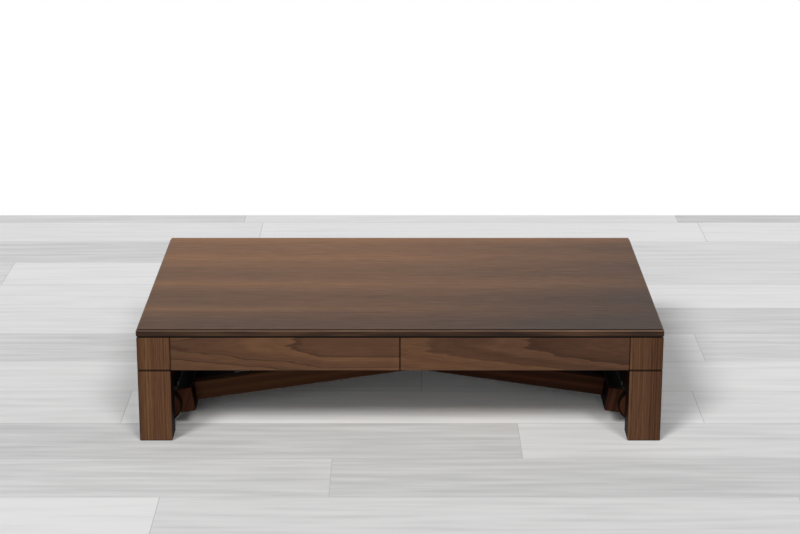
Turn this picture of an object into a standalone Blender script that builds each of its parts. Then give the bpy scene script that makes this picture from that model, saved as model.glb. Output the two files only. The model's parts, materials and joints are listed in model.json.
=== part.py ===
"""A low walnut table that extends in height on two crossed lifting frames.

The top box (top, upper leg blocks, aprons and two drawers) rests on four short
lower legs. Two frames cross under the box like scissors. Each frame turns on an
axle between one pair of lower legs, and carries the box at its other end, so the
box lifts off the lower legs and stays level.

Units are metres, +Z is up, the front faces -Y, and the origin is on the floor
below the middle of the top.
"""
import math

import bmesh
import bpy
from mathutils import Euler, Matrix, Vector

# Overall size
TABLE_W = 1.500
TABLE_D = 0.900
TABLE_H = 0.340

# Top and box
TOP_T = 0.021
TOP_OVERHANG = 0.0012
TOP_EDGE = 0.0036
FIELD_H = 0.0028
FIELD_INSET = 0.0006
FIELD_CORNER_R = 0.0018
BOX_H = 0.1035
REVEAL_H = 0.0042
REVEAL_D = 0.008
APRON_T = 0.024

# Legs
LEG_W = 0.094
LEG_D = 0.078
LEG_EDGE = 0.0020
GLIDE_R = 0.020
GLIDE_T = 0.004
GLIDE_PROUD = 0.001
TIE_T = 0.028
TIE_DROP = 0.014
TIE_HUB_GAP = 0.014
TIE_REACH = 0.035

# Lifting frames
PIVOT_INSET = 0.069
PIVOT_LOW_Z = 0.0766
PIVOT_DROP = 0.0405
ARM_H = 0.055
ARM_T = 0.036
ARM_SETBACK = 0.170
BAR_W = 0.045
BAR_H = 0.073
BAR_OFFSET = 0.0565
BAR_PAST_ARM = 0.012
BAR_EDGE = 0.0020
NOSE_R = 0.028
NECK_STEP = 0.0042
HOUSING = 0.012
BRACE_L = 0.110
BRACE_T = 0.012
AXLE_R = 0.006
AXLE_PROUD = 0.003
HUB_R = 0.046
HUB_L = 0.024
CENTRE_PIN_R = 0.008
SUPPORT_GAP = 0.025
PIVOT_BLOCK_W = 0.060
PIVOT_BLOCK_T = 0.030
TRACK_T = 0.025
TRACK_DROP = 0.026
TRACK_END = 0.014
TRACK_GAP = 0.004
ROLLER_R = 0.010
LIFT_HEIGHT = 0.380
NOTCH_DEPTH = 0.004
NOTCHES = 3

# Drawers
DRAWER_FRONT_T = 0.020
DRAWER_SIDE_T = 0.012
DRAWER_SIDE_H = 0.062
DRAWER_BOTTOM_T = 0.004
DRAWER_BACK_GAP = 0.010
DRAWER_FLOOR = 0.006
CENTRE_HALF = 0.031
FINGER_H = 0.010
FINGER_D = 0.010
FINGER_END = 0.050
RAIL_T = 0.025
RAIL_H = 0.020
POST_HALF = 0.018
POST_LIFT = 0.003
HANGER_T = 0.010
RIB_H = 0.010
RIB_D = 0.006

# Clearances
FIT = 0.0003
SEAM_GAP = 0.0006
DRAWER_GAP = 0.0026
RUN = 0.0006
SIDE_PLAY = 0.0015
EDGE = 0.0010

# How finely round pieces are drawn
ROUND_SIDES = 32
HUB_SIDES = 48
NOSE_SIDES = 40
CORNER_STEPS = 3
SHARP_ANGLE = math.radians(40)
AXIS_MARK = 0.05

# Levels and lines that follow from the sizes above
TOP_UNDER = TABLE_H - TOP_T
TOP_CORNER_R = TOP_EDGE + FIELD_INSET + FIELD_CORNER_R
SEAM_Z = TOP_UNDER - BOX_H
BOX_BOTTOM = SEAM_Z + SEAM_GAP / 2
BOX_TOP = TOP_UNDER - FIT
LEG_TOP = SEAM_Z - SEAM_GAP / 2
OUT_X = TABLE_W / 2 - TOP_OVERHANG
OUT_Y = TABLE_D / 2 - TOP_OVERHANG
LEG_IN_X = OUT_X - LEG_W
LEG_IN_Y = OUT_Y - LEG_D
PIVOT_X = TABLE_W / 2 - PIVOT_INSET
PIVOT_HIGH_Z = TOP_UNDER - PIVOT_DROP
CENTRE_Z = (PIVOT_LOW_Z + PIVOT_HIGH_Z) / 2
RISE = PIVOT_HIGH_Z - PIVOT_LOW_Z
ARM_ANGLE = math.atan2(RISE, 2 * PIVOT_X)
PIVOT_SPAN = math.hypot(RISE, 2 * PIVOT_X)
LIFTED_ANGLE = math.asin((RISE + LIFT_HEIGHT) / PIVOT_SPAN)
SLIDE = PIVOT_SPAN * (math.cos(ARM_ANGLE) - math.cos(LIFTED_ANGLE))
OUTER_ARM_Y = TABLE_D / 2 - ARM_SETBACK
INNER_ARM_Y = OUTER_ARM_Y - ARM_T - SIDE_PLAY
HUB_END_Y = LEG_IN_Y - FIT - HUB_L
LOW_BAR_Y = HUB_END_Y - SIDE_PLAY
SUPPORT_Y = OUTER_ARM_Y + SUPPORT_GAP
TIE_H = LEG_TOP - TIE_DROP - (PIVOT_LOW_Z + HUB_R + TIE_HUB_GAP)
TIE_X = PIVOT_X - TIE_REACH + TIE_T / 2
SLOT_HALF = ROLLER_R + FIT
SLOT_LOW = -PIVOT_X - RUN
SLOT_HIGH = -PIVOT_X + SLIDE + RUN
TRACK_IN_X = -SLOT_HIGH - SLOT_HALF - TRACK_END
DRAWER_BOX_W = TRACK_IN_X - TRACK_GAP - HANGER_T - RUN - CENTRE_HALF
FRONT_BACK_Y = -OUT_Y + DRAWER_FRONT_T
RAIL_BACK_Y = FRONT_BACK_Y + FIT + RAIL_T
RAIL_BOTTOM = BOX_TOP - RAIL_H

# Starting with an empty scene
for old in list(bpy.data.objects):
    bpy.data.objects.remove(old, do_unlink=True)

parts = bpy.data.collections.new("height_extending_coffee_table")
cutters = bpy.data.collections.new("cutters")
bpy.context.scene.collection.children.link(parts)
bpy.context.scene.collection.children.link(cutters)

LOOKS = {
    "walnut": ((0.105, 0.052, 0.027, 1.0), 0.42, 0.0),
    "walnut_shade": ((0.088, 0.044, 0.024, 1.0), 0.48, 0.0),
    "drawer_wood": ((0.430, 0.270, 0.150, 1.0), 0.55, 0.0),
    "steel": ((0.330, 0.330, 0.340, 1.0), 0.35, 1.0),
    "nylon": ((0.060, 0.060, 0.062, 1.0), 0.50, 0.0),
    "felt": ((0.050, 0.045, 0.040, 1.0), 0.95, 0.0),
}


def look(obj, kind):
    """Give the object its own material of one kind."""
    colour, roughness, metallic = LOOKS[kind]
    mat = bpy.data.materials.new(f"{obj.name}_{kind}")
    mat.use_nodes = True
    shader = mat.node_tree.nodes["Principled BSDF"]
    shader.inputs["Base Color"].default_value = colour
    shader.inputs["Roughness"].default_value = roughness
    shader.inputs["Metallic"].default_value = metallic
    obj.data.materials.append(mat)


def empty(name, location, rotation=(0, 0, 0), parent=None):
    """An empty on a joint's axis, which the pieces of one body hang from."""
    node = bpy.data.objects.new(name, None)
    node.empty_display_size = AXIS_MARK
    node.location = location
    node.rotation_euler = rotation
    parts.objects.link(node)
    if parent is not None:
        hang(node, parent)
    bpy.context.view_layer.update()
    return node


def hang(child, parent):
    """Parent a piece without moving it."""
    bpy.context.view_layer.update()
    child.parent = parent
    child.matrix_parent_inverse = parent.matrix_world.inverted()


def place(obj, location, rotation, kind, parent):
    """Set where a piece or a cutter stands, and what carries it."""
    obj.location = location
    obj.rotation_euler = rotation
    if kind is None:
        cutters.objects.link(obj)
        obj.hide_render = True
        obj.display_type = "WIRE"
    else:
        parts.objects.link(obj)
        look(obj, kind)
    if parent is not None:
        hang(obj, parent)


def box(name, size, location, rotation=(0, 0, 0), kind="walnut", parent=None, edge=EDGE):
    """A board or block with chamfered edges; a cutter has no kind."""
    mesh = bpy.data.meshes.new(name)
    bm = bmesh.new()
    bmesh.ops.create_cube(bm, size=1.0)
    bmesh.ops.scale(bm, vec=size, verts=bm.verts)
    bm.to_mesh(mesh)
    bm.free()
    obj = bpy.data.objects.new(name, mesh)
    place(obj, location, rotation, kind, parent)
    if kind is not None and edge > 0:
        chamfer(obj, edge)
    return obj


def span(name, low, high, kind="walnut", parent=None, edge=EDGE):
    """A board given by its two opposite corners."""
    low = Vector(low)
    high = Vector(high)
    return box(name, high - low, (low + high) / 2, kind=kind, parent=parent, edge=edge)


def rod(name, radius, length, location, rotation=(0, 0, 0), kind="steel", parent=None,
        axis="Y", sides=ROUND_SIDES, edge=0.0):
    """A round piece along Y or Z."""
    mesh = bpy.data.meshes.new(name)
    bm = bmesh.new()
    bmesh.ops.create_cone(bm, cap_ends=True, segments=sides, radius1=radius, radius2=radius,
                          depth=length)
    if axis == "Y":
        bmesh.ops.rotate(bm, cent=(0, 0, 0), matrix=Matrix.Rotation(math.pi / 2, 3, "X"),
                         verts=bm.verts)
    bm.to_mesh(mesh)
    bm.free()
    mesh.shade_smooth()
    mesh.set_sharp_from_angle(angle=SHARP_ANGLE)
    obj = bpy.data.objects.new(name, mesh)
    place(obj, location, rotation, kind, parent)
    if edge > 0:
        chamfer(obj, edge)
    return obj


def chamfer(obj, width):
    """Ease the edges of a piece."""
    mod = obj.modifiers.new("eased_edges", "BEVEL")
    mod.width = width
    mod.segments = 1
    mod.limit_method = "ANGLE"
    mod.angle_limit = SHARP_ANGLE


def boolean(obj, other, operation):
    """Cut a piece with another shape, or join the shape to it."""
    mod = obj.modifiers.new(operation.lower(), "BOOLEAN")
    mod.operation = operation
    mod.solver = "EXACT"
    mod.object = other


def cut(obj, other):
    boolean(obj, other, "DIFFERENCE")


def join(obj, other):
    boolean(obj, other, "UNION")


def middle(a, b):
    return (a + b) / 2


# Joint axes: every body hangs from an empty on its own axis
left_legs = empty("left_leg_frame", (-PIVOT_X, 0, 0))
outer_frame = empty("lift_frame_outer", (-PIVOT_X, 0, PIVOT_LOW_Z), (0, -ARM_ANGLE, 0), left_legs)
inner_frame = empty("lift_frame_inner", (0, 0, CENTRE_Z), (0, -ARM_ANGLE, math.pi), outer_frame)
right_legs = empty("right_leg_frame", (PIVOT_X, 0, PIVOT_LOW_Z), (0, 0, 0), inner_frame)
table_box = empty("table_box", (PIVOT_X, 0, PIVOT_HIGH_Z), (0, 0, 0), outer_frame)


# Lower legs, with the axle that each lifting frame turns on
def leg_pair(side, sign, body):
    for face, depth in (("front", -1), ("rear", 1)):
        leg = box(f"lower_leg_{face}_{side}", (LEG_W, LEG_D, LEG_TOP - GLIDE_PROUD),
                  (sign * (OUT_X - LEG_W / 2), depth * (OUT_Y - LEG_D / 2),
                   middle(GLIDE_PROUD, LEG_TOP)),
                  parent=body, edge=LEG_EDGE)
        hole = rod(f"axle_hole_{face}_{side}", AXLE_R + FIT, 2 * HOUSING,
                   (sign * PIVOT_X, depth * LEG_IN_Y, PIVOT_LOW_Z), kind=None, parent=body)
        cut(leg, hole)
        seat = rod(f"glide_seat_{face}_{side}", GLIDE_R + FIT, 2 * GLIDE_T,
                   (sign * (OUT_X - LEG_W / 2), depth * (OUT_Y - LEG_D / 2), FIT),
                   kind=None, parent=body, axis="Z")
        cut(leg, seat)
        rod(f"felt_glide_{face}_{side}", GLIDE_R, GLIDE_T,
            (sign * (OUT_X - LEG_W / 2), depth * (OUT_Y - LEG_D / 2), GLIDE_T / 2),
            kind="felt", parent=body, axis="Z")
        hub = rod(f"pivot_hub_{face}_{side}", HUB_R, HUB_L,
                  (sign * PIVOT_X, depth * middle(LEG_IN_Y - FIT, HUB_END_Y), PIVOT_LOW_Z),
                  kind="walnut_shade", parent=body, sides=HUB_SIDES, edge=EDGE)
        hub_bore = rod(f"hub_bore_{face}_{side}", AXLE_R + FIT, 2 * HUB_L,
                       (sign * PIVOT_X, depth * middle(LEG_IN_Y, HUB_END_Y), PIVOT_LOW_Z),
                       kind=None, parent=body)
        cut(hub, hub_bore)
    rod(f"lower_axle_{side}", AXLE_R, 2 * (LEG_IN_Y + HOUSING - FIT),
        (sign * PIVOT_X, 0, PIVOT_LOW_Z), parent=body)
    box(f"leg_tie_rail_{side}", (TIE_T, 2 * (LEG_IN_Y - FIT), TIE_H),
        (sign * TIE_X, 0, LEG_TOP - TIE_DROP - TIE_H / 2),
        kind="walnut_shade", parent=body)


leg_pair("left", -1, left_legs)
leg_pair("right", 1, right_legs)


# Lifting frames: two arms, a rocker bar at each end and a brace board
def lift_frame(prefix, body, turn, start, arm_y, high_bar_y):
    """Build one frame; start is where its low axle lies along the arm, from the empty."""
    rotation = Euler((0, -ARM_ANGLE, turn))
    matrix = rotation.to_matrix()
    origin = body.matrix_world.translation

    def at(along, across, up):
        return origin + matrix @ Vector((start + along, across, up))

    length = PIVOT_SPAN
    bar_face = BAR_OFFSET + BAR_W / 2
    arm_start = bar_face - HOUSING
    arm_length = length - 2 * arm_start
    arms = {}
    for face, side in (("front", -1), ("rear", 1)):
        local = side if turn == 0 else -side
        arms[local] = box(f"{prefix}_arm_{face}", (arm_length, ARM_T, ARM_H),
                          at(length / 2, local * (arm_y - ARM_T / 2), 0), rotation,
                          parent=body, edge=EDGE)
    for end, along, inward, half in (("low", 0.0, 1, LOW_BAR_Y), ("high", length, -1, high_bar_y)):
        bar = box(f"{prefix}_rocker_bar_{end}", (BAR_W, 2 * half, BAR_H),
                  at(along + inward * BAR_OFFSET, 0, 0), rotation, kind="walnut_shade",
                  parent=body, edge=BAR_EDGE)
        neck = box(f"{prefix}_neck_{end}", (BAR_OFFSET, 2 * (half - BAR_EDGE), 2 * (NOSE_R - NECK_STEP)),
                   at(along + inward * BAR_OFFSET / 2, 0, 0), rotation, kind=None, parent=body)
        join(bar, neck)
        nose = rod(f"{prefix}_nose_{end}", NOSE_R, 2 * (half - BAR_EDGE), at(along, 0, 0), rotation,
                   kind=None, parent=body, sides=NOSE_SIDES)
        join(bar, nose)
        bore = rod(f"{prefix}_bore_{end}", AXLE_R + FIT, 3 * half, at(along, 0, 0), rotation,
                   kind=None, parent=body)
        cut(bar, bore)
        for local in (-1, 1):
            socket = box(f"{prefix}_socket_{end}_{local + 1}",
                         (2 * HOUSING + 2 * FIT, ARM_T + 2 * FIT, ARM_H + 2 * FIT),
                         at(along + inward * bar_face, local * (arm_y - ARM_T / 2), 0),
                         rotation, kind=None, parent=body)
            cut(bar, socket)
    inner_y = arm_y - ARM_T - FIT
    box(f"{prefix}_brace_board", (BRACE_L, 2 * inner_y, BRACE_T),
        at(bar_face + FIT + BRACE_L / 2, 0, ARM_H / 2 - BRACE_T), rotation, kind="walnut_shade",
        parent=body)
    return arms


outer_arms = lift_frame("outer_frame", outer_frame, 0.0, 0.0, OUTER_ARM_Y,
                        OUTER_ARM_Y + BAR_PAST_ARM)
inner_arms = lift_frame("inner_frame", inner_frame, math.pi, -PIVOT_SPAN / 2, INNER_ARM_Y,
                        INNER_ARM_Y + BAR_PAST_ARM)

# Centre pins: fast in the outer arms, with the inner arms turning on them
for face, side in (("front", -1), ("rear", 1)):
    low_y = INNER_ARM_Y - ARM_T - AXLE_PROUD
    high_y = OUTER_ARM_Y + AXLE_PROUD
    pin_place = (0, side * middle(low_y, high_y), CENTRE_Z)
    rod(f"centre_pivot_{face}", CENTRE_PIN_R, high_y - low_y, pin_place, parent=outer_frame)
    pin_hole = rod(f"pin_hole_{face}", CENTRE_PIN_R + FIT, 2 * (high_y - low_y), pin_place,
                   kind=None, parent=outer_frame)
    cut(outer_arms[side], pin_hole)
    cut(inner_arms[-side], pin_hole)

# Sliding axle and its rollers at the high end of the inner frame
rod("sliding_axle", AXLE_R, 2 * (SUPPORT_Y + TRACK_T + AXLE_PROUD),
    (-PIVOT_X, 0, PIVOT_HIGH_Z), parent=inner_frame)
for face, side in (("front", -1), ("rear", 1)):
    roller_place = (-PIVOT_X, side * (SUPPORT_Y + TRACK_T / 2), PIVOT_HIGH_Z)
    roller = rod(f"track_roller_{face}", ROLLER_R, TRACK_T, roller_place, kind="nylon",
                 parent=inner_frame)
    roller_bore = rod(f"roller_bore_{face}", AXLE_R + FIT, 2 * TRACK_T, roller_place, kind=None,
                      parent=inner_frame)
    cut(roller, roller_bore)

# Table box: top, upper leg blocks and aprons with a shadow reveal under the top
def top_board(name):
    """The top: round corners, a chamfered rim and a field that stands a fine step above it."""
    mesh = bpy.data.meshes.new(name)
    bm = bmesh.new()
    bmesh.ops.create_cube(bm, size=1.0)
    bmesh.ops.scale(bm, vec=(TABLE_W, TABLE_D, TOP_T - FIELD_H), verts=bm.verts)
    corners = [e for e in bm.edges if abs(e.verts[0].co.z - e.verts[1].co.z) > TOP_EDGE]
    bmesh.ops.bevel(bm, geom=corners, offset=TOP_CORNER_R, segments=CORNER_STEPS, profile=0.5,
                    affect="EDGES")
    upper = max(bm.faces, key=lambda face: face.calc_center_median().z)
    bmesh.ops.bevel(bm, geom=list(upper.edges), offset=TOP_EDGE, segments=1, affect="EDGES")
    upper = max(bm.faces, key=lambda face: face.calc_center_median().z)
    bmesh.ops.inset_region(bm, faces=[upper], thickness=FIELD_INSET)
    raised = bmesh.ops.extrude_face_region(bm, geom=[upper])
    moved = [item for item in raised["geom"] if isinstance(item, bmesh.types.BMVert)]
    bmesh.ops.translate(bm, vec=(0, 0, FIELD_H), verts=moved)
    bmesh.ops.delete(bm, geom=[upper], context="FACES_ONLY")
    bm.to_mesh(mesh)
    bm.free()
    obj = bpy.data.objects.new(name, mesh)
    place(obj, (0, 0, middle(TOP_UNDER, TABLE_H - FIELD_H)), (0, 0, 0), "walnut", table_box)
    return obj


top_board("table_top")

reveal = box("reveal_inside", (2 * (OUT_X - REVEAL_D), 2 * (OUT_Y - REVEAL_D), 4 * REVEAL_H),
             (0, 0, BOX_TOP), kind=None, parent=table_box)
reveal_ring = box("reveal_ring", (TABLE_W, TABLE_D, 2 * REVEAL_H), (0, 0, BOX_TOP), kind=None,
                  parent=table_box)
cut(reveal_ring, reveal)

for side, sign in (("left", -1), ("right", 1)):
    for face, depth in (("front", -1), ("rear", 1)):
        block = box(f"upper_leg_{face}_{side}", (LEG_W, LEG_D, BOX_TOP - BOX_BOTTOM),
                    (sign * (OUT_X - LEG_W / 2), depth * (OUT_Y - LEG_D / 2),
                     middle(BOX_BOTTOM, BOX_TOP)),
                    parent=table_box, edge=0)
        cut(block, reveal_ring)
        chamfer(block, LEG_EDGE)
    apron = box(f"side_apron_{side}", (APRON_T, 2 * (LEG_IN_Y - FIT), BOX_TOP - BOX_BOTTOM),
                (sign * (OUT_X - APRON_T / 2), 0, middle(BOX_BOTTOM, BOX_TOP)),
                parent=table_box, edge=0)
    cut(apron, reveal_ring)
    chamfer(apron, LEG_EDGE)

back_apron = box("rear_apron", (2 * (LEG_IN_X - FIT), APRON_T, BOX_TOP - BOX_BOTTOM),
                 (0, OUT_Y - APRON_T / 2, middle(BOX_BOTTOM, BOX_TOP)), parent=table_box,
                 edge=0)
cut(back_apron, reveal_ring)
chamfer(back_apron, LEG_EDGE)

span("front_rail", (-LEG_IN_X + FIT, FRONT_BACK_Y + FIT, RAIL_BOTTOM),
     (LEG_IN_X - FIT, RAIL_BACK_Y, BOX_TOP), kind="walnut_shade", parent=table_box)
span("centre_post", (-POST_HALF, FRONT_BACK_Y + FIT, BOX_BOTTOM + POST_LIFT),
     (POST_HALF, RAIL_BACK_Y, RAIL_BOTTOM - FIT), kind="walnut_shade", parent=table_box)

# Pivot blocks for the fixed end and slotted tracks for the sliding end
for face, side in (("front", -1), ("rear", 1)):
    block = box(f"pivot_block_{face}", (PIVOT_BLOCK_W, PIVOT_BLOCK_T, PIVOT_DROP + TRACK_DROP - FIT),
                (PIVOT_X, side * (SUPPORT_Y + PIVOT_BLOCK_T / 2),
                 middle(PIVOT_HIGH_Z - TRACK_DROP, BOX_TOP)),
                kind="walnut_shade", parent=table_box)
    block_bore = rod(f"block_bore_{face}", AXLE_R + FIT, 3 * PIVOT_BLOCK_T,
                     (PIVOT_X, side * (SUPPORT_Y + PIVOT_BLOCK_T / 2), PIVOT_HIGH_Z), kind=None,
                     parent=table_box)
    cut(block, block_bore)

    track_y = side * (SUPPORT_Y + TRACK_T / 2)
    track = span(f"slide_track_{face}",
                 (SLOT_LOW - SLOT_HALF - TRACK_END, track_y - TRACK_T / 2, PIVOT_HIGH_Z - TRACK_DROP),
                 (-TRACK_IN_X, track_y + TRACK_T / 2, BOX_TOP),
                 kind="walnut_shade", parent=table_box)
    slot = box(f"track_slot_{face}", (SLOT_HIGH - SLOT_LOW, 2 * TRACK_T, 2 * SLOT_HALF),
               (middle(SLOT_LOW, SLOT_HIGH), track_y, PIVOT_HIGH_Z), kind=None, parent=table_box)
    for name, x in (("near", SLOT_LOW), ("far", SLOT_HIGH)):
        end = rod(f"slot_end_{name}_{face}", SLOT_HALF, 2 * TRACK_T, (x, track_y, PIVOT_HIGH_Z),
                  kind=None, parent=table_box)
        join(slot, end)
    for step in range(1, NOTCHES + 1):
        angle = ARM_ANGLE + (LIFTED_ANGLE - ARM_ANGLE) * step / NOTCHES
        x = -PIVOT_X + PIVOT_SPAN * (math.cos(ARM_ANGLE) - math.cos(angle))
        notch = rod(f"track_notch_{step}_{face}", SLOT_HALF, 2 * TRACK_T,
                    (x, track_y, PIVOT_HIGH_Z + NOTCH_DEPTH), kind=None, parent=table_box)
        join(slot, notch)
    cut(track, slot)

rod("upper_axle_right", AXLE_R, 2 * (SUPPORT_Y + PIVOT_BLOCK_T + AXLE_PROUD),
    (PIVOT_X, 0, PIVOT_HIGH_Z), parent=table_box)


# Drawers, each hung from ribs on two hanger rails under the top
def drawer(side, sign):
    front_in = DRAWER_GAP / 2
    front_out = LEG_IN_X - DRAWER_GAP / 2
    box_in = CENTRE_HALF
    box_out = CENTRE_HALF + DRAWER_BOX_W
    back_y = -OUTER_ARM_Y - DRAWER_BACK_GAP
    floor_z = BOX_BOTTOM + DRAWER_FLOOR
    side_z = floor_z + DRAWER_BOTTOM_T + FIT
    side_top = side_z + DRAWER_SIDE_H
    front_top = BOX_TOP - REVEAL_H
    body = empty(f"drawer_{side}", (sign * middle(front_in, front_out), -OUT_Y, floor_z),
                 (0, 0, 0), table_box)

    def board(name, x0, x1, y0, y1, z0, z1, kind, edge=EDGE):
        xs = sorted((sign * x0, sign * x1))
        return span(f"drawer_{side}_{name}", (xs[0], y0, z0), (xs[1], y1, z1), kind=kind,
                    parent=body, edge=edge)

    front = board("front", front_in, front_out, -OUT_Y, FRONT_BACK_Y, BOX_BOTTOM, front_top,
                  "walnut", LEG_EDGE)
    finger_x = sorted((sign * FINGER_END, sign * (front_out - FINGER_END)))
    finger = span(f"finger_pull_{side}",
                  (finger_x[0], FRONT_BACK_Y - FINGER_D, BOX_BOTTOM - FINGER_H),
                  (finger_x[1], FRONT_BACK_Y + FINGER_D, BOX_BOTTOM + FINGER_H),
                  kind=None, parent=body)
    cut(front, finger)
    wall_y = FRONT_BACK_Y + FIT
    rib_z = middle(side_z, side_top)
    for name, x0, x1 in (("side_inner", box_in, box_in + DRAWER_SIDE_T),
                         ("side_outer", box_out - DRAWER_SIDE_T, box_out)):
        wall = board(name, x0, x1, wall_y, back_y, side_z, side_top, "drawer_wood")
        outside = x0 if name == "side_inner" else x1
        groove = box(f"groove_{name}_{side}",
                     (2 * (RIB_D + RUN), 2 * (back_y - RAIL_BACK_Y + 2 * RUN), RIB_H + 2 * RUN),
                     (sign * outside, back_y, rib_z), kind=None, parent=body)
        cut(wall, groove)
        web = -1 if name == "side_inner" else 1
        near = outside + web * RUN
        far = near + web * HANGER_T
        xs = sorted((sign * near, sign * far))
        hanger = span(f"hanger_{name}_{side}", (xs[0], RAIL_BACK_Y + FIT, rib_z - RIB_H),
                      (xs[1], back_y, BOX_TOP), kind="walnut_shade", parent=table_box)
        rib_x = sorted((sign * (near + web * HANGER_T / 2), sign * (outside - web * (RIB_D - RUN))))
        rib = span(f"rib_{name}_{side}", (rib_x[0], RAIL_BACK_Y + FIT + EDGE, rib_z - RIB_H / 2),
                   (rib_x[1], back_y - EDGE, rib_z + RIB_H / 2), kind=None, parent=table_box)
        join(hanger, rib)
    board("back", box_in + DRAWER_SIDE_T + FIT, box_out - DRAWER_SIDE_T - FIT,
          back_y - DRAWER_SIDE_T, back_y, side_z, side_top, "drawer_wood")
    board("bottom", box_in, box_out, wall_y, back_y, floor_z, floor_z + DRAWER_BOTTOM_T,
          "drawer_wood", EDGE / 2)


drawer("left", -1)
drawer("right", 1)
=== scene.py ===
# %% [markdown]
# # A low walnut table that rises on crossed lifting frames
#
# The table's box (top, leg blocks, aprons and two drawers) rests on four short lower
# legs, and two frames that cross like scissors lift it off them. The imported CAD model
# already has every board, axle and roller in place, so this lesson adds what a solid
# model lacks: wood grain, metal, felt, small fasteners, light and a camera.

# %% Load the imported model
import json
import math

import bmesh
import bpy
from mathutils import Matrix, Vector


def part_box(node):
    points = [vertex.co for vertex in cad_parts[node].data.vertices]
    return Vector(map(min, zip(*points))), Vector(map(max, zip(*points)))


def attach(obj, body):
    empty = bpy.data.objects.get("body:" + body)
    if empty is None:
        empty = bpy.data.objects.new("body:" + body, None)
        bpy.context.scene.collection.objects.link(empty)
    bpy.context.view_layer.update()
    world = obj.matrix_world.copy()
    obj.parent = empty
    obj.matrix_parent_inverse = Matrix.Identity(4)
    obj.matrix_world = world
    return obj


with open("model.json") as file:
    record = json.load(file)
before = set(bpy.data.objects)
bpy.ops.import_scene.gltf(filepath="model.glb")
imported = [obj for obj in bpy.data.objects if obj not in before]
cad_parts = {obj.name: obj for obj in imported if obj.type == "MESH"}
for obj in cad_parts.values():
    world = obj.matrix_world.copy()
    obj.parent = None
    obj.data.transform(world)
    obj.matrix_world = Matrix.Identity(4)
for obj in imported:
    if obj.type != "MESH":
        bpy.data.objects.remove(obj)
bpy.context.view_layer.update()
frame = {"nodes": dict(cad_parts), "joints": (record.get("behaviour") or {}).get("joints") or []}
nodes = frame["nodes"]
joints = {joint["name"]: joint for joint in frame["joints"]}

# %% [markdown]
# ## Camera
#
# The photograph looks at the long front from a little above, from far away, so the
# table's far edge is only slightly shorter than its near edge. Its lens was lifted
# out of the middle of the frame, which Blender calls shift. Distance, height, focal
# length and shift were worked out from where the corners of the top and the feet fall
# in the picture.

# %% Camera at the photograph's viewing angle
CAMERA_AT = (0.0, -5.755, 2.22)
CAMERA_DOWN = math.radians(15.86)
SENSOR_W = 36.0
LENS = 89.22
LENS_SHIFT = -0.08
camera_data = bpy.data.cameras.new("table_camera")
camera_data.sensor_width = SENSOR_W
camera_data.lens = LENS
camera_data.shift_y = LENS_SHIFT
camera = bpy.data.objects.new("table_camera", camera_data)
camera.location = CAMERA_AT
camera.rotation_euler = (math.pi / 2 - CAMERA_DOWN, 0.0, 0.0)
bpy.context.scene.collection.objects.link(camera)
bpy.context.scene.camera = camera
print("camera", camera.location[:], "lens", camera_data.lens)

# %% [markdown]
# ## Helpers for every material
#
# Colours are written as sRGB hex, the way a colour picker shows them, and Blender's
# shaders want linear light, so one function converts them. The second helper adds a
# node, sets its properties, and fills its inputs with a number or with another node's
# output, so a material reads as a list of steps. The third lists colours along a
# measured value, such as a distance in metres, instead of a bare 0 to 1.

# %% Helpers: colour and nodes
def linear(hex_colour):
    """sRGB hex to linear RGBA."""
    channels = [int(hex_colour[i:i + 2], 16) / 255 for i in (1, 3, 5)]
    return [c / 12.92 if c <= 0.04045 else ((c + 0.055) / 1.055) ** 2.4 for c in channels] + [1.0]


def add(tree, kind, inputs=None, **settings):
    """Add a node; an input given another node's socket is linked, else it is set."""
    made = tree.nodes.new("ShaderNode" + kind)
    for name, value in settings.items():
        setattr(made, name, value)
    for name, value in (inputs or {}).items():
        if isinstance(value, bpy.types.NodeSocket):
            tree.links.new(value, made.inputs[name])
        else:
            made.inputs[name].default_value = value
    return made


def tones(tree, value, stops):
    """Colours along a value, given as (value, hex) pairs in rising order."""
    low, high = stops[0][0], stops[-1][0]
    place = add(tree, "MapRange", {"Value": value, "From Min": low, "From Max": high})
    ramp = add(tree, "ValToRGB", {"Fac": place.outputs["Result"]})
    points = ramp.color_ramp.elements
    while len(points) < len(stops):
        points.new(0.5)
    for point, (at, colour) in zip(points, stops):
        point.position = (at - low) / (high - low)
        point.color = linear(colour)
    return ramp.outputs["Color"]


def new_material(name):
    """An empty node material with its tree and its Principled shader."""
    material = bpy.data.materials.new(name)
    material.use_nodes = True
    return material, material.node_tree, material.node_tree.nodes["Principled BSDF"]


print("walnut mid tone in linear light:", [round(c, 3) for c in linear("#5c3d28")])

# %% [markdown]
# ## Floor
#
# The table stands on pale painted boards that run from left to right, each 26 cm wide and
# 1.7 m long. Each row starts at a place of its own and each board has a tone of its own.
# Both come from white noise, which looks random but always gives the same number for the
# same row and board. Noise drawn out along the board makes brushed paint of it, and a
# thin grey line marks each joint.

# %% Floor boards
BOARD_W, BOARD_L = 0.2615, 1.72
BOARD_FROM = -0.0535
BOARD_SEED = 15.0
JOINT_HALF = 0.0010
BRUSH_SCALE, BRUSH_STRETCH, BRUSH_WEIGHT = 10.0, 0.45, 1.2
BRUSH_APART = 40.0
floor_material, tree, shader = new_material("painted_floor_boards")
here = add(tree, "SeparateXYZ", {0: add(tree, "TexCoord").outputs["Object"]}).outputs
across = add(tree, "Math", {0: here["Y"], 1: 1 / BOARD_W, 2: -BOARD_FROM / BOARD_W},
             operation="MULTIPLY_ADD").outputs[0]
row = add(tree, "Math", {0: across}, operation="FLOOR").outputs[0]
slip = add(tree, "TexWhiteNoise", {"W": add(tree, "Math", {0: row, 1: BOARD_SEED}).outputs[0]},
           noise_dimensions="1D").outputs["Value"]
along = add(tree, "Math", {0: here["X"], 1: 1 / BOARD_L, 2: slip},
            operation="MULTIPLY_ADD").outputs[0]
board = add(tree, "Math", {0: along}, operation="FLOOR").outputs[0]
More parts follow.
